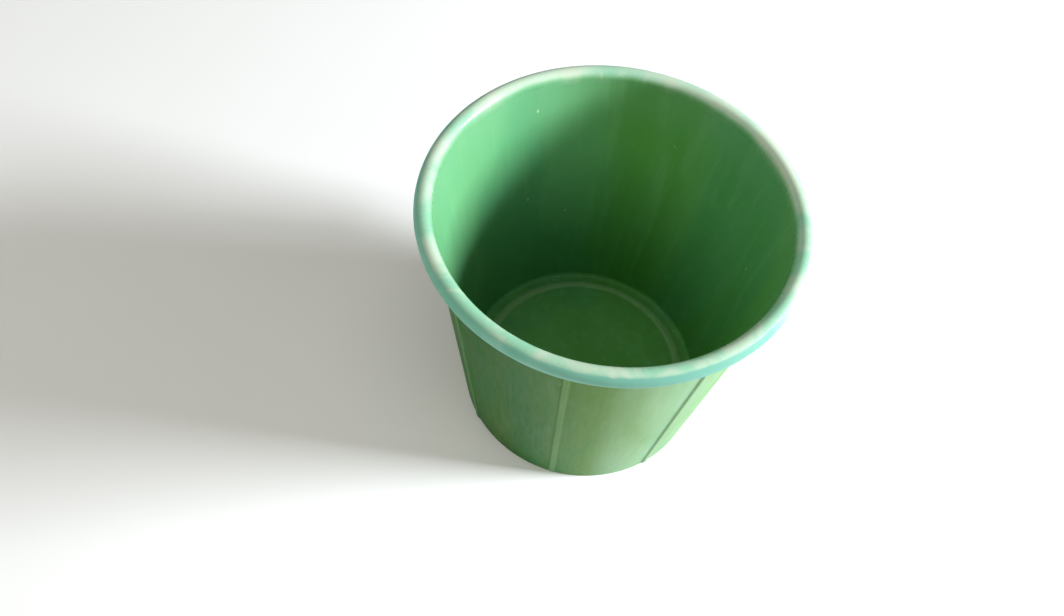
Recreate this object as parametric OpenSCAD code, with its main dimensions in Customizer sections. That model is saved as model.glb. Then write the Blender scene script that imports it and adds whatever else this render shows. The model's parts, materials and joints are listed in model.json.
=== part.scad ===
// Five-litre sand bucket: a moulded shell with a rolled rim and upright ribs,
// carried by a steel wire bail with a loose grip. Millimetres, +Z up, with the
// origin at the centre of the foot and the bail's pivots along X.

/* [Shell] */
// Height from the foot to the top of the rim
bucket_h = 191; // [180:1:210]
// Outside diameter over the rolled rim
rim_d = 220; // [214:1:230]
// Thickness of the rim's bead
bead_d = 10.3; // [9.6:0.1:11]
// Outside diameter of the wall at the foot
foot_d = 166.6; // [162:0.2:172]
// Thickness of the wall, the floor and the rim
wall_t = 2; // [1.6:0.1:2.4]
// Diameter of the raised middle of the floor
disc_d = 141.6; // [130:0.2:143]
// Height that the middle of the floor is raised by
disc_rise = 3; // [2:0.1:4]

/* [Ribs] */
// Number of upright ribs around the wall
rib_count = 8; // [4:4:16]
// Width of a rib
rib_w = 4.8; // [3:0.1:7]
// Height of a rib above the wall
rib_h = 1.1; // [1:0.1:1.4]

/* [Lugs] */
// Depth of the bail's pivots below the top of the rim
pivot_drop = 23; // [22:1:26]
// Width of a lug
lug_w = 24; // [22:1:30]
// Thickness of a lug's plate
plate_t = 2.4; // [2:0.1:3]

/* [Bail] */
// Diameter of the wire
wire_d = 3.5; // [3:0.1:3.6]
// Least gap between the grip and the rim as the bail swings past it
swing_gap = 2.2; // [1:0.1:10]

/* [Grip] */
// Length of the grip
grip_len = 84; // [70:1:86]
// Diameter of the grip
grip_d = 16.6; // [15:0.2:18]
// Diameter of the grip's end collars
collar_d = 18.6; // [17:0.2:20]
// Number of lengthwise flutes in the grip
flute_count = 16; // [8:1:20]

/* [Hidden] */
$fn = 96;

// How far a cutter reaches past what it cuts
over = 1;

// Rim and wall
rim_r = rim_d / 2;
foot_r = foot_d / 2;
disc_r = disc_d / 2;
bead_r = bead_d / 2;
bead_x = rim_r - bead_r;
bead_z = bucket_h - bead_r;
lip_drop = 4.3;
curl_gap = 1.6;
slope = (bead_x - bead_r + wall_t - foot_r) / bead_z;
taper = atan(slope);
corner_fillet = 3.2;
foot_step = 3;

// Ribs
rib_round = 0.9;
rib_root = 0.8;
rib_start = 0.5;
rib_to_lug = 4;
rib_top = bead_z - lip_drop;

// Lugs
pivot_z = bucket_h - pivot_drop;
lug_r = lug_w / 2;
cheek_t = 2;
plate_out_r = rim_r - 0.4;
plate_in_r = plate_out_r - plate_t;
skin_t = 1;
pocket_top = rib_top - skin_t;
bore_clearance = 0.08;

// Grip
grip_r = grip_d / 2;
collar_r = collar_d / 2;
collar_len = 4;
collar_round = 1.2;
flute_r = 1.2;
flute_depth = 0.5;
flute_end = 1;

// Bail: the bar in the middle is a little longer than the grip, and the
// reach from the pivots, in whole tenths, lets the grip swing over the rim
wire_r = wire_d / 2;
bar_spare = 1.8;
leg_x = rim_r + 3.3;
corner_r = leg_x - grip_len / 2 - bar_spare;
least_reach = norm([bead_x, bead_z - pivot_z]) + bead_r + collar_r + swing_gap;
bail_reach = ceil(10 * least_reach) / 10;
leg_top = bail_reach - corner_r;
end_gap = 0.3;
bend_r = leg_x - plate_out_r - end_gap;
hook_r = 2.4;
hook_x = plate_in_r - end_gap - hook_r;
tail_len = 4.6;

// The bail hangs behind the bucket until the grip nearly meets the rib there
rest_gap = 0.3;
rest_reach = foot_r + slope * pivot_z + (rib_h + rest_gap + grip_r) / cos(taper);
rest_angle = taper + acos(rest_reach * cos(taper) / bail_reach);

// Radius of the wall's outer and inner faces at height z
function outer_r(z) = foot_r + slope * z;
function inner_r(z) = outer_r(z) - wall_t / cos(taper);

// Half section of the wall and floor, with the foot as a shallow channel
module wall_section() {
    difference() {
        polygon([
            [0, disc_rise],
            [disc_r, disc_rise],
            [disc_r + foot_step, 0],
            [foot_r, 0],
            [outer_r(bead_z), bead_z],
            [inner_r(bead_z), bead_z],
            [inner_r(wall_t + corner_fillet), wall_t + corner_fillet],
            [inner_r(wall_t) - corner_fillet, wall_t],
            [disc_r + foot_step, wall_t],
            [disc_r, wall_t + disc_rise],
            [0, wall_t + disc_rise]
        ]);
        translate([inner_r(wall_t + corner_fillet) - corner_fillet, wall_t + corner_fillet])
            circle(r = corner_fillet);
    }
}

// Half section of the rolled rim, open underneath next to the wall
module rim_section() {
    translate([bead_x, bead_z])
        difference() {
            circle(r = bead_r);
            circle(r = bead_r - wall_t);
            translate([-2 * bead_r, -2 * bead_r])
                square([2 * bead_r + curl_gap, 2 * bead_r]);
            translate([-bead_r, -2 * bead_r])
                square([3 * bead_r, 2 * bead_r - lip_drop]);
        }
}

// One upright rib on the +X side, leaning with the wall, up to height top
module rib(top) {
    translate([foot_r, 0, 0])
        rotate([0, taper, 0])
            translate([0, 0, rib_start])
                linear_extrude(height = top / cos(taper) - rib_start)
                    union() {
                        translate([-rib_root, -rib_w / 2])
                            square([rib_root + rib_h - rib_round, rib_w]);
                        translate([-rib_root, rib_round - rib_w / 2])
                            square([rib_root + rib_h, rib_w - 2 * rib_round]);
                        for (side = [-1, 1])
                            translate([rib_h - rib_round, side * (rib_w / 2 - rib_round)])
                                circle(r = rib_round);
                    }
}

// Outline of a lug seen from its side, half_w from its middle line to its edge
module lug_outline(half_w, top) {
    union() {
        circle(r = half_w);
        translate([-half_w, 0])
            square([2 * half_w, top - pivot_z]);
    }
}

// The lug on the +X side: a plate level with the rim and two cheeks to the wall
module lug() {
    height = bead_z - pivot_z + lug_r;
    low = pivot_z - lug_r;
    difference() {
        intersection() {
            translate([0, 0, low])
                cylinder(r = plate_out_r, h = height);
            translate([0, 0, pivot_z])
                rotate([90, 0, 90])
                    linear_extrude(height = rim_r)
                        lug_outline(lug_r, bead_z);
        }
        translate([0, 0, low - over])
            cylinder(
                r1 = outer_r(low - over) - wall_t / 2,
                r2 = outer_r(bead_z + over) - wall_t / 2,
                h = height + 2 * over
            );
        intersection() {
            translate([0, 0, low - over])
                cylinder(r = plate_in_r, h = pocket_top - low + over);
            translate([0, cheek_t - lug_r, low - over])
                cube([rim_r, 2 * (lug_r - cheek_t), height + 2 * over]);
        }
        translate([hook_x, 0, pivot_z])
            rotate([0, 90, 0])
                cylinder(r = wire_r + bore_clearance, h = rim_r - hook_x);
    }
}

module bucket_shell() {
    color([0.43, 0.62, 0.42])
        union() {
            rotate_extrude()
                union() {
                    wall_section();
                    rim_section();
                }
            for (i = [0 : rib_count - 1])
                rotate([0, 0, 360 / rib_count * i])
                    rib(2 * i % rib_count == 0 ? pivot_z - lug_r - rib_to_lug : rib_top);
            for (side = [0, 180])
                rotate([0, 0, side])
                    lug();
        }
}

// Puts a shape drawn in the bail's own plane at the bail's resting place
module at_bail() {
    translate([0, 0, pivot_z])
        rotate([-rest_angle, 0, 0])
            children();
}

// Quarter turn of wire about the origin, starting at the angle start
module wire_bend(r, start) {
    rotate([0, 0, start])
        rotate_extrude(angle = 90)
            translate([r, 0])
                circle(r = wire_r);
}

// Half of the bail on the +X side: grip bar, corner, leg, pin and hooked end
module half_bail() {
    rotate([0, 90, 0])
        cylinder(r = wire_r, h = leg_x - corner_r);
    translate([leg_x - corner_r, -corner_r, 0])
        wire_bend(corner_r, 0);
    translate([leg_x, bend_r - bail_reach, 0])
        rotate([-90, 0, 0])
            cylinder(r = wire_r, h = leg_top - bend_r);
    translate([leg_x - bend_r, bend_r - bail_reach, 0])
        wire_bend(bend_r, -90);
    translate([hook_x + hook_r, -bail_reach, 0])
        rotate([0, 90, 0])
            cylinder(r = wire_r, h = leg_x - bend_r - hook_x - hook_r);
    translate([hook_x + hook_r, hook_r - bail_reach, 0])
        wire_bend(hook_r, 180);
    translate([hook_x, hook_r - bail_reach, 0])
        rotate([-90, 0, 0])
            cylinder(r = wire_r, h = tail_len);
}

module bail_wire() {
    color([0.74, 0.76, 0.78])
        at_bail()
            translate([0, bail_reach, 0])
                union() {
                    half_bail();
                    mirror([1, 0, 0])
                        half_bail();
                }
}

// A round-edged collar of the grip, starting at the origin
module collar() {
    rotate_extrude()
        union() {
            square([collar_r - collar_round, collar_len]);
            translate([0, collar_round])
                square([collar_r, collar_len - 2 * collar_round]);
            for (z = [collar_round, collar_len - collar_round])
                translate([collar_r - collar_round, z])
                    circle(r = collar_round);
        }
}

module grip() {
    color([0.36, 0.6, 0.44])
        at_bail()
            translate([-grip_len / 2, bail_reach, 0])
                rotate([0, 90, 0])
                    difference() {
                        union() {
                            cylinder(r = grip_r, h = grip_len);
                            collar();
                            translate([0, 0, grip_len - collar_len])
                                collar();
                        }
                        translate([0, 0, -over])
                            cylinder(r = wire_r + bore_clearance, h = grip_len + 2 * over);
                        for (i = [0 : flute_count - 1])
                            rotate([0, 0, 360 / flute_count * i])
                                translate([grip_r + flute_r - flute_depth, 0, collar_len + flute_end])
                                    cylinder(r = flute_r, h = grip_len - 2 * (collar_len + flute_end));
                    }
}

bucket_shell();
bail_wire();
grip();
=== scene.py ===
"""Sand bucket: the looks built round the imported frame, in metres and in the CAD's own axes."""

import json
import math

import bmesh
import bpy
import numpy as np
from mathutils import Matrix, Vector


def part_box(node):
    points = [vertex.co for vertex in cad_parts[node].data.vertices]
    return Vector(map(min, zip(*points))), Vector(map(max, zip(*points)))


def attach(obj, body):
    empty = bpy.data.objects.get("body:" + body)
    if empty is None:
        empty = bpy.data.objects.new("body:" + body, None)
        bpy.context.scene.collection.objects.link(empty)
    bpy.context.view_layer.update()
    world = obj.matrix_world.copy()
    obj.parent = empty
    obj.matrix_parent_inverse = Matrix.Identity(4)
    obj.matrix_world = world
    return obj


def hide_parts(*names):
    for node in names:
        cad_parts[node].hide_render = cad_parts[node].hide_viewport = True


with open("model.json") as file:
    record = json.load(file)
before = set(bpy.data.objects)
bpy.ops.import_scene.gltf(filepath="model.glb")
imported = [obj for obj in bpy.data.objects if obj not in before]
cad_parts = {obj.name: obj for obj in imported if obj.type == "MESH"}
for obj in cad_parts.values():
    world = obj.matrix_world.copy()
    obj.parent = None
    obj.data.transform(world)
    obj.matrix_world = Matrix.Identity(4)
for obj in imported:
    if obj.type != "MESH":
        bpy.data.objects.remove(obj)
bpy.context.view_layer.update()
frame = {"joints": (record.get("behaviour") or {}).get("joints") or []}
MM = 0.001

# ---------------------------------------------------------------- driving dimensions
SHELL_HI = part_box("bucket_shell")[1]
WIRE_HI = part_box("bail_wire")[1]
GRIP_LO, GRIP_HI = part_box("grip")
JOINTS = {j["name"]: j for j in frame["joints"]}
PIVOT = Vector(JOINTS["bail_swing"]["pos_m"])
GRIP_MIDDLE = Vector(JOINTS["grip_spin"]["pos_m"])

# The wall and the rolled rim: the bead is the rim's round section, and the lip is its free edge.
RIM_R = SHELL_HI.x
HEIGHT = SHELL_HI.z
WALL_T = 2 * MM
BEAD_R = 5.15 * MM
BEAD_X = RIM_R - BEAD_R
BEAD_Z = HEIGHT - BEAD_R
FOOT_R = 83.3 * MM
SLOPE = (BEAD_X - BEAD_R + WALL_T - FOOT_R) / BEAD_Z
TAPER = math.atan(SLOPE)
LIP_ANGLE = math.radians(-56)

# The floor: a raised disc, the step down to the channel round it, and the mark of the moulding gate.
# The section stops short of the axis by AXIS_GAP, which a fan of triangles closes.
DISC_R = 70.8 * MM
DISC_RISE = 3 * MM
FOOT_STEP = 3 * MM
STEP_SOFT = 1 * MM
STEP_TOP_ROUND = 10 * MM
STEP_FOOT_ROUND = 9 * MM
WALL_FOOT_ROUND = 3.2 * MM
AXIS_GAP = 0.4 * MM
GATE_R = 5 * MM
GATE_DEPTH = 0.6 * MM
NUB_R = 1.2 * MM
NUB_DEPTH = 0.2 * MM

# The ribs, with a rounded crest, a straight flank and a small hollow at the foot of the flank.
# Between two ribs the wall has PLAIN_COLUMNS columns of faces.
RIB_COUNT = 8
RIB_W = 4.8 * MM
RIB_H = 1.1 * MM
RIB_ROUND = 1.5 * MM
RIB_FOOT = 0.5 * MM
RIB_FLANK = math.radians(43)
RIB_GUARD = 0.35 * MM
RIB_START = 0.5 * MM
RIB_FADE = 1 * MM
RIB_TO_LUG = 4 * MM
PLAIN_COLUMNS = 22

# The lugs: a pierced plate, and two cheeks and a web that run from it into the wall.
LUG_HALF = 12 * MM
PLATE_OUT_R = RIM_R - 0.4 * MM
PLATE_T = 2.4 * MM
PLATE_LAP = 0.6 * MM
CHEEK_T = 2 * MM
CHEEK_DROP = 6 * MM
WEB_DROP = 1.5 * MM
WALL_LAP = 0.9 * MM
BORE_R = 1.83 * MM

# The bail: straight legs, hooked ends through the lugs, and round corners up to the grip.
WIRE_R = 1.75 * MM
LEG_X = WIRE_HI.x - WIRE_R
REACH = (GRIP_MIDDLE - PIVOT).length
HOOK_R = 2.4 * MM
TAIL = 4.6 * MM
END_GAP = 0.3 * MM

GRIP_LEN = GRIP_HI.x - GRIP_LO.x
CORNER_R = LEG_X - GRIP_LEN / 2 - 1.8 * MM

# The grip: a fluted tube between two round collars.
GRIP_R = 8.3 * MM
COLLAR_R = 9.3 * MM
COLLAR_LEN = 4 * MM
COLLAR_ROUND = 1.2 * MM
FLUTES = 16
FLUTE_DEPTH = 0.55 * MM
SEAM_H = 0.06 * MM

# Which way the painted light comes from: on the inside, and on the outside.
LIT_FACING_IN = math.radians(-20)
LIT_SIDE_OUT = math.radians(-40)

# Colours of the studio's light.
DAYLIGHT = (0.95, 1.0, 1.04)
WARM = (1.0, 0.98, 0.9)


def outer_r(z):
    """Radius of the wall's outer face at height z."""
    return FOOT_R + SLOPE * z


def inner_r(z):
    """Radius of the wall's inner face at height z."""
    return outer_r(z) - WALL_T / math.cos(TAPER)


# ---------------------------------------------------------------- outlines
def arc(cx, cy, r, start, end, steps):
    """Points of an arc, both ends included."""
    turns = np.linspace(start, end, steps + 1)
    return [(cx + r * math.cos(a), cy + r * math.sin(a)) for a in turns]


def rounded(corners, steps=6, guard=0.5 * MM):
    """An open outline through (x, y, radius) corners, with a guard point before and after each arc."""
    out = [corners[0][:2]]
    for before, here, after in zip(corners, corners[1:], corners[2:]):
        p = np.array(here[:2])
        a = np.array(before[:2]) - p
        b = np.array(after[:2]) - p
        a /= np.linalg.norm(a)
        b /= np.linalg.norm(b)
        half = math.acos(float(np.clip(a @ b, -1, 1))) / 2
        r = here[2]
        reach = r / math.tan(half)
        centre = p + (a + b) / np.linalg.norm(a + b) * r / math.sin(half)
        first = p + a * reach - centre
        turn = math.pi - 2 * half
        side = 1 if first[0] * b[1] - first[1] * b[0] > 0 else -1
        start = math.atan2(first[1], first[0])
        out.append(tuple(p + a * (reach + guard)))
        out += arc(centre[0], centre[1], r, start, start + side * turn, steps)
        out.append(tuple(p + b * (reach + guard)))
    out.append(corners[-1][:2])
    return out


# ---------------------------------------------------------------- meshes
def make_mesh(name, verts, faces, material):
    """A smooth-shaded mesh object from points and faces."""
    mesh = bpy.data.meshes.new(name)
    mesh.from_pydata([tuple(v) for v in verts], [], faces)
    mesh.validate()
    piece = bpy.data.objects.new(name, mesh)
    bpy.context.scene.collection.objects.link(piece)
    mesh.materials.append(material)
    mesh.shade_smooth()
    return piece


def grid_faces(rows, columns, close_rows=False):
    """Quads of a grid whose columns run round; close_rows joins the last row to the first."""
    faces = []
    for i in range(rows if close_rows else rows - 1):
        for j in range(columns):
            a = i * columns
            b = (i + 1) % rows * columns
            k = (j + 1) % columns
            faces.append((a + j, a + k, b + k, b + j))
    return faces


def join_parts(parts):
    """One list of points and faces from several."""
    verts, faces = [], []
    for some_verts, some_faces in parts:
        base = len(verts)
        verts += [tuple(v) for v in some_verts]
        faces += [tuple(i + base for i in f) for f in some_faces]
    return verts, faces


def with_caps(verts, rows, columns, first, last):
    """A grid's faces plus a fan of triangles to one point at each end."""
    faces = grid_faces(rows, columns)
    a, b = len(verts), len(verts) + 1
    end = (rows - 1) * columns
    for j in range(columns):
        k = (j + 1) % columns
        faces.append((a, k, j))
        faces.append((b, end + j, end + k))
    return [*verts, first, last], faces


# ---------------------------------------------------------------- the shell
def shell_outline():
    """The half section from the floor's middle over the rim to the underside, and what of it is wall."""
    inside = rounded([
        (AXIS_GAP, DISC_RISE + WALL_T, 0),
        (DISC_R - STEP_SOFT, DISC_RISE + WALL_T, STEP_TOP_ROUND),
        (DISC_R + FOOT_STEP + STEP_SOFT, WALL_T, STEP_FOOT_ROUND),
        (inner_r(WALL_T), WALL_T, WALL_FOOT_ROUND),
        (inner_r(BEAD_Z), BEAD_Z, 0),
    ], steps=10, guard=0.1 * MM)
    rim = arc(BEAD_X, BEAD_Z, BEAD_R, math.pi, LIP_ANGLE, 40)
    lip_r = BEAD_R - WALL_T / 2
    lip = arc(
        BEAD_X + lip_r * math.cos(LIP_ANGLE), BEAD_Z + lip_r * math.sin(LIP_ANGLE),
        WALL_T / 2, LIP_ANGLE, LIP_ANGLE - math.pi, 8,
    )
    hollow = arc(BEAD_X, BEAD_Z, BEAD_R - WALL_T, LIP_ANGLE, math.pi, 18)
    wall = [(outer_r(z), z) for z in np.linspace(BEAD_Z - 1 * MM, 3 * MM, 40)]
    under = rounded([
        (outer_r(2.5 * MM), 2.5 * MM, 0),
        (FOOT_R, 0, 0.7 * MM),
        (DISC_R + FOOT_STEP, 0, 0.8 * MM),
        (DISC_R, DISC_RISE, 1.6 * MM),
        (GATE_R + 0.5 * MM, DISC_RISE, 0.3 * MM),
        (GATE_R, DISC_RISE + GATE_DEPTH, 0.3 * MM),
        (NUB_R + 0.4 * MM, DISC_RISE + GATE_DEPTH, 0.15 * MM),
        (NUB_R, DISC_RISE + NUB_DEPTH, 0.15 * MM),
        (AXIS_GAP, DISC_RISE + NUB_DEPTH, 0),
    ], guard=0.05 * MM)
    is_wall = [False] * (len(inside) + len(rim) + len(lip) + len(hollow) - 3)
    is_wall += [True] * len(wall) + [False] * len(under)
    return inside + rim[1:] + lip[1:] + hollow[1:] + wall + under, is_wall


def rib_section():
    """(sideways place, height) of points across half a rib, from its crest to the flat wall."""
    edge = RIB_W / 2
    quarter = math.pi / 2
    points = [(0.0, RIB_H), (edge - RIB_ROUND - RIB_GUARD, RIB_H)]
    points += arc(edge - RIB_ROUND, RIB_H - RIB_ROUND, RIB_ROUND, quarter, quarter - RIB_FLANK, 7)
    points += arc(edge + RIB_FOOT, RIB_FOOT, RIB_FOOT, -quarter - RIB_FLANK, -quarter, 4)
    points.append((edge + RIB_FOOT + RIB_GUARD, 0.0))
    return points


def shell_grid():
    """The moulded wall, floor, rim and ribs as one closed skin."""
    outline, is_wall = shell_outline()
    half = rib_section()
    across = [(-s, h) for s, h in reversed(half[1:])] + half
    sector = 2 * math.pi / RIB_COUNT
    rows = np.array(outline)
    r = rows[:, :1]
    z = rows[:, 1:]
    reach_r = np.maximum(r, 0.8 * DISC_R)
    side = across[-1][0] / reach_r
    angles, heights = [], []
    for k in range(RIB_COUNT):
        for s, h in across:
            angles.append(k * sector + s / reach_r)
            heights.append((k, h))
        for t in range(1, PLAIN_COLUMNS):
            angles.append(k * sector + side + (sector - 2 * side) * t / PLAIN_COLUMNS)
            heights.append((k, 0.0))
    angle = np.hstack(angles)
    # The ribs rise out of the wall just above the foot, and the two under the lugs stop short of them.
    low = np.clip((z - RIB_START) / RIB_FADE, 0, 1)
    below_lug = np.clip((PIVOT.z - LUG_HALF - RIB_TO_LUG - z) / RIB_FADE, 0, 1)
    under_lugs = (0, RIB_COUNT // 2)
    on_wall = np.array(is_wall, float)[:, None]
    lift = np.hstack([
        h * on_wall * low * (below_lug if k in under_lugs else 1.0) for k, h in heights
    ])
    radius = r + lift * math.cos(TAPER)
    height = z - lift * math.sin(TAPER)
    verts = np.stack([radius * np.cos(angle), radius * np.sin(angle), height], 2).reshape(-1, 3)
    columns = len(angles)
    middle_top = (0, 0, DISC_RISE + WALL_T)
    middle_under = (0, 0, DISC_RISE + NUB_DEPTH)
    return with_caps(list(verts), len(outline), columns, middle_top, middle_under)


def lug_plate(side):
    """A lug's pierced plate, curved with the rim: rings of points round the bore."""
    up = BEAD_Z - PIVOT.z
    bevel = 0.5 * MM
    chamfer = 0.35 * MM
    half_t = PLATE_T / 2
    mid_r = PLATE_OUT_R - half_t
    turns = np.linspace(0, 2 * math.pi, 96, endpoint=False)
    rings = []
    for a in turns:
        c, s = math.cos(a), math.sin(a)
        edge = LUG_HALF
        if s > 0:
            edge = min(LUG_HALF / max(abs(c), 1e-6), up / s)
        flat = edge - bevel
        loop = [(BORE_R, -half_t + chamfer), (BORE_R + chamfer, -half_t)]
        loop += [(BORE_R + (flat - BORE_R) * t, -half_t) for t in (0.15, 0.5, 0.9)]
        loop += arc(flat, -half_t + bevel, bevel, -math.pi / 2, 0, 4)
        loop += arc(flat, half_t - bevel, bevel, 0, math.pi / 2, 4)
        loop += [(BORE_R + (flat - BORE_R) * t, half_t) for t in (0.9, 0.5, 0.15)]
        loop += [(BORE_R + chamfer, half_t), (BORE_R, half_t - chamfer)]
        rings.append([(d * c, d * s, w) for d, w in loop])
    rings = np.array(rings)
    y = rings[..., 0]
    height = PIVOT.z + rings[..., 1]
    radius = mid_r + rings[..., 2]
    x = side * np.sqrt(radius**2 - y**2)
    verts = np.stack([x, y, height], 2)
    count, loop_len = verts.shape[:2]
    faces = []
    for i in range(count):
        k = (i + 1) % count
        for j in range(loop_len):
            m = (j + 1) % loop_len
            quad = (i * loop_len + j, i * loop_len + m, k * loop_len + m, k * loop_len + j)
            faces.append(quad if side < 0 else quad[::-1])
    return verts.reshape(-1, 3), faces


def soft_box(lo, hi, bevel):
    """A box with rounded edges, as points and faces."""
    bm = bmesh.new()
    bmesh.ops.create_cube(bm, size=1)
    lo, hi = Vector(lo), Vector(hi)
    for v in bm.verts:
        v.co = Vector([(a + b) / 2 + c * (b - a) for a, b, c in zip(lo, hi, v.co)])
    bmesh.ops.bevel(bm, geom=bm.edges[:], offset=bevel, segments=3, affect="EDGES", profile=0.5)
    bmesh.ops.recalc_face_normals(bm, faces=bm.faces[:])
    bm.verts.index_update()
    verts = [v.co.copy() for v in bm.verts]
    faces = [tuple(v.index for v in f.verts) for f in bm.faces]
    bm.free()
    return verts, faces


def lug_block(side, lo, hi, bevel):
    """A soft box on the +X or the -X side whose inner face is let into the slope of the wall."""
    verts, faces = soft_box(lo, hi, bevel)
    placed = []
    for x, y, z in verts:
        root = math.sqrt(outer_r(z) ** 2 - y**2) - WALL_LAP
        share = (hi[0] - x) / (hi[0] - lo[0])
        placed.append((side * (x + share * (root - lo[0])), y, z))
    return placed, faces if side > 0 else [f[::-1] for f in faces]


def lug_parts(side):
    """The plate, two cheeks and the web above the pocket of the lug on one side."""
    pocket_top = BEAD_Z + (BEAD_R - WALL_T / 2) * math.sin(LIP_ANGLE) - WEB_DROP
    root = outer_r(PIVOT.z)
    plate_in = PLATE_OUT_R - PLATE_T + PLATE_LAP
    parts = [lug_plate(side)]
    for hand in (-1, 1):
        near, far = sorted((hand * (LUG_HALF - CHEEK_T), hand * (LUG_HALF - 0.1 * MM)))
        lo = (root, near, PIVOT.z - CHEEK_DROP)
        hi = (plate_in - 0.2 * MM, far, BEAD_Z)
        parts.append(lug_block(side, lo, hi, 0.5 * MM))
    web_half = LUG_HALF - 0.3 * MM
    lo = (root, -web_half, pocket_top)
    hi = (plate_in, web_half, BEAD_Z)
    parts.append(lug_block(side, lo, hi, 0.4 * MM))
    return parts


def make_shell(material):
    """The shell with both lugs, as one piece."""
    verts, faces = join_parts([shell_grid(), *lug_parts(1), *lug_parts(-1)])
    return make_mesh("moulded_shell", verts, faces, material)


# ---------------------------------------------------------------- the bail
def wire_path():
    """The wire's middle line as (x, distance from the pivots) from one hooked end to the other."""
    hook_x = PLATE_OUT_R - PLATE_T - END_GAP - HOOK_R
    bend = LEG_X - PLATE_OUT_R - END_GAP
    top = REACH - CORNER_R
    half = [(hook_x, HOOK_R + TAIL), (hook_x, HOOK_R + 0.4 * MM)]
    half += arc(hook_x + HOOK_R, HOOK_R, HOOK_R, math.pi, 1.5 * math.pi, 10)
    half += arc(LEG_X - bend, bend, bend, 1.5 * math.pi, 2 * math.pi, 12)
    half += [(LEG_X, d) for d in np.linspace(bend, top, 8)[1:-1]]
    half += arc(LEG_X - CORNER_R, top, CORNER_R, 0, math.pi / 2, 40)
    half += [(x, REACH) for x in np.linspace(LEG_X - CORNER_R, 0, 8)[1:]]
    return half + [(-x, d) for x, d in reversed(half[:-1])]


def tube(path, normal, radius, sides=24):
    """A round tube along 3-D points that lie in the plane with this normal, with chamfered ends."""
    path = [Vector(p) for p in path]
    chamfer = 0.25 * radius
    start = (path[1] - path[0]).normalized()
    end = (path[-1] - path[-2]).normalized()
    stations = [(path[0], start, radius - chamfer), (path[0] + start * chamfer, start, radius)]
    for before, here, after in zip(path, path[1:], path[2:]):
        stations.append((here, (after - before).normalized(), radius))
    stations += [(path[-1] - end * chamfer, end, radius), (path[-1], end, radius - chamfer)]
    verts = []
    for point, along, r in stations:
        across = normal.cross(along).normalized()
        for a in np.linspace(0, 2 * math.pi, sides, endpoint=False):
            verts.append(point + across * (r * math.cos(a)) + normal * (r * math.sin(a)))
    verts, faces = with_caps(verts, len(stations), sides, path[0], path[-1])
    return verts, [f[::-1] for f in faces]


def make_wire(material):
    """The bail's wire, leaning the way it rests."""
    along = (GRIP_MIDDLE - PIVOT).normalized()
    normal = Vector((1, 0, 0)).cross(along)
    path = [PIVOT + Vector((x, 0, 0)) + along * d for x, d in wire_path()]
    verts, faces = tube(path, normal, WIRE_R)
    return make_mesh("bent_wire", verts, faces, material)


# ---------------------------------------------------------------- the grip
def grip_outline():
    """(place along the grip, radius, how deep the flutes are) from one end to the other."""
    edge = COLLAR_ROUND
    mid_r = COLLAR_R - edge
    half = [(COLLAR_LEN * 0.5, BORE_R, 0), (0.5 * MM, BORE_R, 0), (0, BORE_R + 0.5 * MM, 0)]
    half += [(0, 0.5 * (BORE_R + COLLAR_R), 0), (0, mid_r - 0.4 * MM, 0)]
    half += [(edge + x, y, 0) for x, y in arc(0, mid_r, edge, math.pi, math.pi / 2, 6)]
    half += [(COLLAR_LEN - edge + x, y, 0) for x, y in arc(0, mid_r, edge, math.pi / 2, 0.35, 6)]
    half += [(COLLAR_LEN + 0.35 * MM, GRIP_R + 0.1 * MM, 0), (COLLAR_LEN + 0.8 * MM, GRIP_R, 0)]
    half += [(COLLAR_LEN + 1.4 * MM + t * 2.4 * MM, GRIP_R, t) for t in (0, 0.15, 0.4, 0.7, 0.9, 1)]
    other = [(GRIP_LEN - x, y, t) for x, y, t in reversed(half)]
    return half + other


def make_grip(material):
    """The grip: a fluted tube with round collars and a fine parting line on two sides."""
    columns = FLUTES * 12
    verts = []
    outline = grip_outline()
    for x, r, flute in outline:
        for j in range(columns):
            a = 2 * math.pi * j / columns
            wave = (0.5 + 0.5 * math.cos(FLUTES * a)) ** 2.5
            on_seam = j % (columns // 2) == columns // 4 and r > GRIP_R - 0.1 * MM
            seam = SEAM_H if on_seam else 0
            rr = min(r - FLUTE_DEPTH * flute * wave + seam, COLLAR_R)
            y = GRIP_MIDDLE.y + rr * math.cos(a)
            z = GRIP_MIDDLE.z + rr * math.sin(a)
            verts.append((GRIP_LO.x + x, y, z))
    faces = grid_faces(len(outline), columns, close_rows=True)
    return make_mesh("fluted_grip", verts, faces, material)


# ---------------------------------------------------------------- materials
def srgb(red, green, blue):
    """A linear colour with alpha from 0-255 display values."""
    def linear(v):
        v /= 255
        return v / 12.92 if v <= 0.04045 else ((v + 0.055) / 1.055) ** 2.4
    return (linear(red), linear(green), linear(blue), 1.0)


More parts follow.
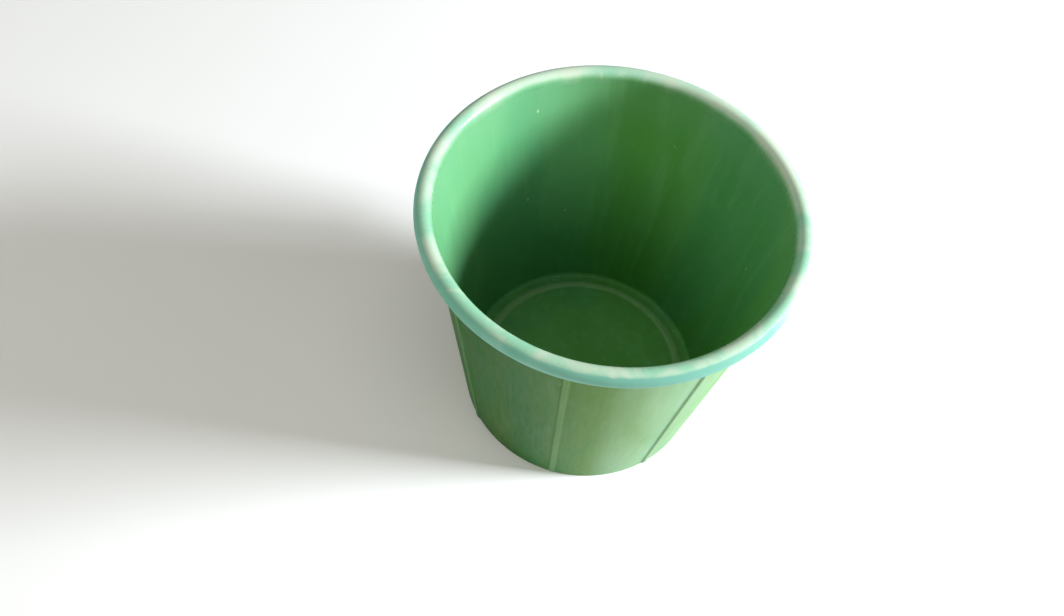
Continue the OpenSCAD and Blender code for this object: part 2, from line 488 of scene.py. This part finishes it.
class Tree:
    """A material's nodes, with short calls to add and join them."""

    def __init__(self, name):
        self.material = bpy.data.materials.new(name)
        self.material.use_nodes = True
        self.tree = self.material.node_tree
        self.shader = self.tree.nodes["Principled BSDF"]
        coordinates = self.add("ShaderNodeTexCoord").outputs
        self.object = coordinates["Object"]
        self.normal = coordinates["Normal"]

    def add(self, kind, inputs=None, **settings):
        """A node of this kind; inputs maps sockets, by name or number, to values or other sockets."""
        node = self.tree.nodes.new(kind)
        for key, value in settings.items():
            setattr(node, key, value)
        for key, value in (inputs or {}).items():
            self.join(node.inputs[key], value)
        return node

    def join(self, socket, value):
        """Link a socket to another one, or set it to a plain value."""
        if isinstance(value, bpy.types.NodeSocket):
            self.tree.links.new(value, socket)
        else:
            socket.default_value = value

    def math(self, operation, a, b=0.0, c=0.0):
        """One arithmetic step on up to three values."""
        return self.add("ShaderNodeMath", {0: a, 1: b, 2: c}, operation=operation).outputs[0]

    def length(self, a, b):
        """Length of a vector with these two parts."""
        squares = self.math("ADD", self.math("MULTIPLY", a, a), self.math("MULTIPLY", b, b))
        return self.math("SQRT", squares)

    def along(self, vector, turn):
        """How far a vector points towards this turn about Z, seen from above."""
        inputs = {0: vector, 1: (math.cos(turn), math.sin(turn), 0)}
        return self.add("ShaderNodeVectorMath", inputs, operation="DOT_PRODUCT").outputs["Value"]

    def step(self, value, low, high, to_low=0.0, to_high=1.0):
        """A smooth change from to_low where value is low to to_high where it is high."""
        inputs = {"Value": value, "From Min": low, "From Max": high}
        inputs.update({"To Min": to_low, "To Max": to_high})
        return self.add("ShaderNodeMapRange", inputs, interpolation_type="SMOOTHSTEP").outputs[0]

    def noise(self, scale, stretch=(1, 1, 1), detail=3.0, roughness=0.5, shift=(0, 0, 0), warp=0.0):
        """Noise of this scale per metre, with the space first stretched and shifted."""
        placed = self.add(
            "ShaderNodeMapping", {"Vector": self.object, "Location": shift, "Scale": stretch}
        ).outputs[0]
        inputs = {"Vector": placed, "Scale": scale, "Detail": detail, "Roughness": roughness}
        inputs["Distortion"] = warp
        return self.add("ShaderNodeTexNoise", inputs).outputs["Fac"]

    def mix(self, amount, a, b):
        """Colour a where amount is 0, colour b where it is 1."""
        node = self.add("ShaderNodeMix", data_type="RGBA")
        self.join(node.inputs["Factor"], amount)
        self.join(node.inputs["A"], a)
        self.join(node.inputs["B"], b)
        return node.outputs["Result"]

    def bump(self, height, strength, distance, normal=None):
        """A normal disturbed by this height, on top of another normal if one is given."""
        inputs = {"Height": height, "Strength": strength, "Distance": distance}
        if normal is not None:
            inputs["Normal"] = normal
        return self.add("ShaderNodeBump", inputs).outputs["Normal"]

    def set(self, **inputs):
        """Set or link the shader's own sockets, with _ for the blanks in their names."""
        for key, value in inputs.items():
            self.join(self.shader.inputs[key.replace("_", " ")], value)


def shell_zones(t):
    """Masks of the shell's zones, and a point's height, radius and place round the bead."""
    x, y, z = t.add("ShaderNodeSeparateXYZ", {0: t.object}).outputs[:3]
    r = t.length(x, y)
    out = t.math("SUBTRACT", r, BEAD_X)
    up = t.math("SUBTRACT", z, BEAD_Z)
    from_bead = t.length(out, up)

    # Inside is all that lies within the middle of the wall, and the rim's inner shoulder above it.
    within_wall = t.math("LESS_THAN", r, t.math("MULTIPLY_ADD", z, SLOPE, FOOT_R - WALL_T / 2))
    inward = t.math("LESS_THAN", out, -0.2 * BEAD_R)
    shoulder = t.math("MULTIPLY", inward, t.math("GREATER_THAN", up, 0.0))
    inside = t.math("MAXIMUM", within_wall, shoulder)

    # Painted light and shade: the inside is paler where it faces the lit side, and the outside is paler
    # on the lit side and darker on the shaded side.
    from_axis = t.add(
        "ShaderNodeVectorMath", {0: t.object, "Scale": t.math("DIVIDE", 1.0, r)}, operation="SCALE"
    ).outputs["Vector"]
    painted_light_in = t.step(t.along(t.normal, LIT_FACING_IN), -0.1, 1.0)
    painted_light_shade_out = t.step(t.along(from_axis, LIT_SIDE_OUT), 0.35, 1.05)

    # The back of the rim's top is paler but for a gap left of the middle.
    from_gap = t.math("ABSOLUTE", t.math("ADD", x, 0.17 * RIM_R))
    beside_gap = t.step(from_gap, 0.05 * RIM_R, 0.35 * RIM_R)

    # A rib's crest stands out of the wall by the rib's height, and the lugs and the rim by more; the
    # crest carries a painted highlight.
    proud = t.math("SUBTRACT", r, t.math("MULTIPLY_ADD", z, SLOPE, FOOT_R))
    on_rib = t.math("LESS_THAN", proud, 1.5 * RIB_H)
    return {
        "inside": inside,
        "rim": t.step(from_bead, BEAD_R + 0.1 * MM, BEAD_R + 1.1 * MM, 1.0, 0.0),
        "painted_light_shade": t.mix(inside, painted_light_shade_out, painted_light_in),
        "back": t.math("MULTIPLY", t.step(y, 0.1 * RIM_R, 0.6 * RIM_R), beside_gap),
        "right": t.step(x, 0.84 * RIM_R, 0.98 * RIM_R),
        "crest": t.math("MULTIPLY", t.step(proud, 0.5 * RIB_H, 0.95 * RIB_H), on_rib),
        "turn": t.math("ARCTAN2", up, out),
        "out": out,
        "radius": r,
        "height": z,
    }


def wall_colour(t, zone, dust):
    """Wall colour: green inside, olive outside, in upright streaks, with painted light and shade: paler
    where it faces the lit side, darker outside on the shaded side.
    """
    streaks = t.noise(30, stretch=(1, 1, 0.1), detail=3, warp=0.3)
    clouds = t.noise(14, stretch=(1, 1, 0.35), detail=2, shift=(0.3, 0.1, 0.2), warp=0.5)
    fine = t.noise(150, stretch=(1, 1, 0.04), detail=3)
    # Random clouds added to the painted light and shade of the sides.
    clouds_and_painted_light = t.math("MULTIPLY_ADD", t.math("SUBTRACT", clouds, 0.5), 0.5, zone["painted_light_shade"])

    inner = t.mix(t.step(streaks, 0.36, 0.66), srgb(86, 152, 70), srgb(94, 158, 86))
    # Painted light: the inner wall turns paler and bluer where it faces the lit side.
    inner = t.mix(t.step(clouds_and_painted_light, 0.25, 1.0, 0.0, 0.75), inner, srgb(104, 170, 124))
    inner = t.mix(t.step(clouds, 0.52, 0.66, 0.0, 0.45), inner, srgb(78, 150, 106))
    inner = t.mix(t.step(fine, 0.48, 0.74, 0.0, 0.30), inner, srgb(120, 176, 116))
    # Painted light: the inner wall is paler towards the top, where more light falls in.
    painted_light_near_rim = t.step(zone["height"], 0.75 * HEIGHT, HEIGHT, 0.0, 0.24)
    inner = t.mix(painted_light_near_rim, inner, srgb(130, 186, 146))
    # A paler band round the edge of the floor's raised disc.
    from_edge = t.math("ABSOLUTE", t.math("SUBTRACT", zone["radius"], DISC_R))
    on_floor = t.math("LESS_THAN", zone["height"], DISC_RISE + 2 * WALL_T)
    pale_ring = t.math("MULTIPLY", t.step(from_edge, 1.6 * MM, 4.6 * MM, 0.55, 0.0), on_floor)
    inner = t.mix(pale_ring, inner, srgb(168, 204, 156))

    olive = t.step(streaks, 0.38, 0.62)
    strong = t.mix(olive, srgb(24, 94, 18), srgb(42, 92, 8))
    pale = t.mix(olive, srgb(82, 138, 80), srgb(98, 140, 58))
    # Painted shade and light: the outer wall is dark green on the shaded side and pale on the lit side,
    # broken by random clouds.
    outer = t.mix(clouds_and_painted_light, strong, pale)
    outer = t.mix(t.step(clouds_and_painted_light, 0.72, 1.05, 0.0, 0.7), outer, srgb(138, 174, 140))
    outer = t.mix(t.step(fine, 0.48, 0.75, 0.0, 0.16), outer, srgb(100, 134, 64))
    outer = t.mix(t.step(dust, 0.5, 0.75, 0.0, 0.1), outer, srgb(104, 144, 92))
    # Painted highlight: a paler strip along each rib's crest.
    outer = t.mix(t.math("MULTIPLY", zone["crest"], 0.24), outer, srgb(132, 172, 110))
    return t.mix(zone["inside"], outer, inner)


def rim_colour(t, zone, facing_up, smears):
    """Rim colour: mint with cream patches on top, teal down the outer side, a darker painted teal on the
    lit side and a painted pale highlight at the far right.
    """
    patches = t.noise(12, stretch=(1, 1, 0.4), detail=2, shift=(0.7, 0.2, 0), warp=1.2)
    top_patches = t.math("MULTIPLY_ADD", zone["back"], 0.16, patches)
    top = t.mix(t.step(top_patches, 0.46, 0.64), srgb(138, 190, 160), srgb(182, 204, 182))
    top = t.mix(t.step(smears, 0.48, 0.64, 0.0, 0.6), top, srgb(192, 202, 182))
    side = t.mix(t.step(smears, 0.4, 0.7), srgb(116, 182, 158), srgb(132, 190, 170))
    # Painted shade: the rim's outer side is a darker, greyer teal on the lit side, to temper the lamps
    # there.
    side = t.mix(zone["painted_light_shade"], side, srgb(106, 164, 147))
    # Painted highlight: the rim's outer side turns pale at the far right, where the window lamp strikes
    # it.
    side = t.mix(zone["right"], side, srgb(176, 206, 190))
    return t.mix(facing_up, side, top)


def bucket_plastic():
    """Marbled satin plastic with a paler rim top, painted light and shade, pale specks and fine upright
    scuffs.
    """
    t = Tree("bucket_plastic")
    zone = shell_zones(t)
    dust = t.noise(9, detail=4, roughness=0.6, shift=(0.8, 0.3, 0.1))
    smears = t.noise(40, stretch=(1, 1, 0.6), detail=4, shift=(0.1, 0.5, 0), warp=0.8)

    # The smears break up the two borders: between the rim's top and side, and towards the inner wall.
    turn = t.math("ADD", zone["turn"], t.math("MULTIPLY_ADD", smears, 0.5, -0.25))
    on_top = t.step(turn, math.radians(52), math.radians(70))
    facing_up = t.math("MAXIMUM", on_top, zone["inside"])
    inward = t.math("MULTIPLY_ADD", smears, -2 * MM, t.math("SUBTRACT", 1 * MM, zone["out"]))
    pale_rim = t.math("MULTIPLY", zone["rim"], t.step(inward, 0.6 * BEAD_R, 1.1 * BEAD_R, 1.0, 0.0))
    colour = t.mix(pale_rim, wall_colour(t, zone, dust), rim_colour(t, zone, facing_up, smears))

    placed = t.add("ShaderNodeMapping", {"Vector": t.object, "Scale": (1, 1, 0.5)}).outputs[0]
    specks = t.add("ShaderNodeTexVoronoi", {"Vector": placed, "Scale": 80.0, "Randomness": 1.0})
    chance = t.add("ShaderNodeSeparateColor", {0: specks.outputs["Color"]}).outputs[0]
    size = t.math("MULTIPLY_ADD", chance, 0.14, -0.065)
    speck = t.math("LESS_THAN", specks.outputs["Distance"], size)
    colour = t.mix(t.math("MULTIPLY", speck, 0.45), colour, srgb(205, 222, 190))

    scuffs = t.noise(420, stretch=(1, 1, 0.12), detail=4, roughness=0.6)
    rough = t.math("ADD", t.step(scuffs, 0.35, 0.75, 0.36, 0.46), t.step(dust, 0.4, 0.7, 0.0, 0.10))
    outside = t.math("SUBTRACT", 1.0, t.math("MAXIMUM", zone["inside"], zone["rim"]))
    rough = t.math("MULTIPLY_ADD", outside, 0.16, rough)
    rim_rough = t.math("MULTIPLY_ADD", facing_up, -0.3, 0.15)
    rough = t.math("MULTIPLY_ADD", zone["rim"], rim_rough, rough)
    normal = t.bump(t.noise(45, detail=1), 0.05, 1 * MM)
    normal = t.bump(scuffs, 0.03, 0.2 * MM, normal)
    t.set(Base_Color=colour, Roughness=rough, Normal=normal, IOR=1.49, Specular_IOR_Level=0.3)
    return t.material


def steel_wire():
    """Bright galvanised wire: drawn lines, zinc mottling and dull spots."""
    t = Tree("steel_wire")
    mottle = t.noise(260, detail=4, roughness=0.6)
    dull = t.noise(45, detail=3, shift=(0.4, 0, 0))
    colour = t.mix(t.step(mottle, 0.35, 0.7), srgb(176, 180, 184), srgb(208, 211, 214))
    colour = t.mix(t.step(dull, 0.5, 0.8, 0.0, 0.6), colour, srgb(140, 142, 142))
    rough = t.step(mottle, 0.3, 0.75, 0.24, 0.46)
    t.set(Base_Color=colour, Metallic=1.0, Roughness=rough, Normal=t.bump(mottle, 0.2, 0.3 * MM))
    return t.material


def grip_plastic():
    """The grip's satin plastic: two greens swirled along it, with a fine paler grain."""
    t = Tree("grip_plastic")
    swirl = t.noise(60, stretch=(0.3, 1, 1), detail=4, warp=0.9)
    fine = t.noise(700, detail=4, roughness=0.6)
    colour = t.mix(t.step(swirl, 0.35, 0.7), srgb(74, 140, 96), srgb(104, 168, 120))
    colour = t.mix(t.step(fine, 0.55, 0.8, 0.0, 0.3), colour, srgb(150, 190, 150))
    rough = t.step(fine, 0.3, 0.75, 0.34, 0.52)
    t.set(Base_Color=colour, Roughness=rough, Normal=t.bump(fine, 0.12, 0.3 * MM), IOR=1.49)
    return t.material


def floor_paper():
    """A plain pale floor with the faintest mottling."""
    t = Tree("floor_paper")
    tone = t.noise(3, detail=3)
    t.set(Base_Color=t.mix(tone, srgb(240, 240, 240), srgb(246, 246, 246)), Roughness=0.8)
    return t.material


# ---------------------------------------------------------------- the object
shell = make_shell(bucket_plastic())
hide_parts("bucket_shell")
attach(shell, "bucket")

wire = make_wire(steel_wire())
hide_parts("bail_wire")
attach(wire, "bail")

grip = make_grip(grip_plastic())
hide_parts("grip")
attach(grip, "grip")


# ---------------------------------------------------------------- the studio
def add_floor():
    """The wide pale floor that the bucket stands on."""
    bpy.ops.mesh.primitive_grid_add(x_subdivisions=8, y_subdivisions=8, size=12)
    floor = bpy.context.object
    floor.name = "floor"
    floor.data.materials.append(floor_paper())


def add_camera():
    """The camera at the photographer's place: above and in front, slightly rolled."""
    data = bpy.data.cameras.new("camera")
    data.sensor_width = 36
    data.lens = 29.44
    camera = bpy.data.objects.new("camera", data)
    bpy.context.scene.collection.objects.link(camera)
    place = Vector((0.0161, -0.3075, 0.5595))
    aim = Vector((-0.0365, -0.0200, 0.0954))
    roll = math.radians(5.93)
    turn = (aim - place).to_track_quat("-Z", "Y").to_matrix() @ Matrix.Rotation(roll, 3, "Z")
    camera.matrix_world = Matrix.Translation(place) @ turn.to_4x4()
    bpy.context.scene.camera = camera


def add_light(name, azimuth, elevation, distance, width, height, power, colour):
    """A soft lamp aimed at the bucket's middle, in degrees, metres and watts."""
    data = bpy.data.lights.new(name, "AREA")
    data.shape = "RECTANGLE"
    data.size = width
    data.size_y = height
    data.energy = power
    data.color = colour
    lamp = bpy.data.objects.new(name, data)
    bpy.context.scene.collection.objects.link(lamp)
    a, e = math.radians(azimuth), math.radians(elevation)
    middle = Vector((0, 0, HEIGHT / 2))
    away = Vector((math.cos(a) * math.cos(e), math.sin(a) * math.cos(e), math.sin(e)))
    lamp.location = middle + away * distance
    lamp.rotation_euler = away.to_track_quat("Z", "Y").to_euler()


def add_world():
    """A weak even light from the room."""
    world = bpy.data.worlds.new("room")
    bpy.context.scene.world = world
    world.use_nodes = True
    background = world.node_tree.nodes["Background"]
    background.inputs["Color"].default_value = (1.0, 0.98, 0.95, 1.0)
    background.inputs["Strength"].default_value = 0.03


add_floor()
add_camera()
add_light("window", 10, 24, 1.6, 0.45, 0.45, 57, DAYLIGHT)
add_light("front_right", 320, 33, 2.0, 2.2, 0.9, 8.2, WARM)
add_light("front_left", 240, 33, 2.0, 2.2, 0.9, 11.5, WARM)
add_light("left_high", 190, 50, 2.0, 1.8, 0.9, 4.3, WARM)
add_light("overhead", 0, 90, 2.0, 1.4, 1.4, 6.4, WARM)
add_light("back_left", 140, 28, 2.0, 1.8, 0.9, 5.0, WARM)
add_world()
bpy.context.scene.view_settings.view_transform = "Standard"
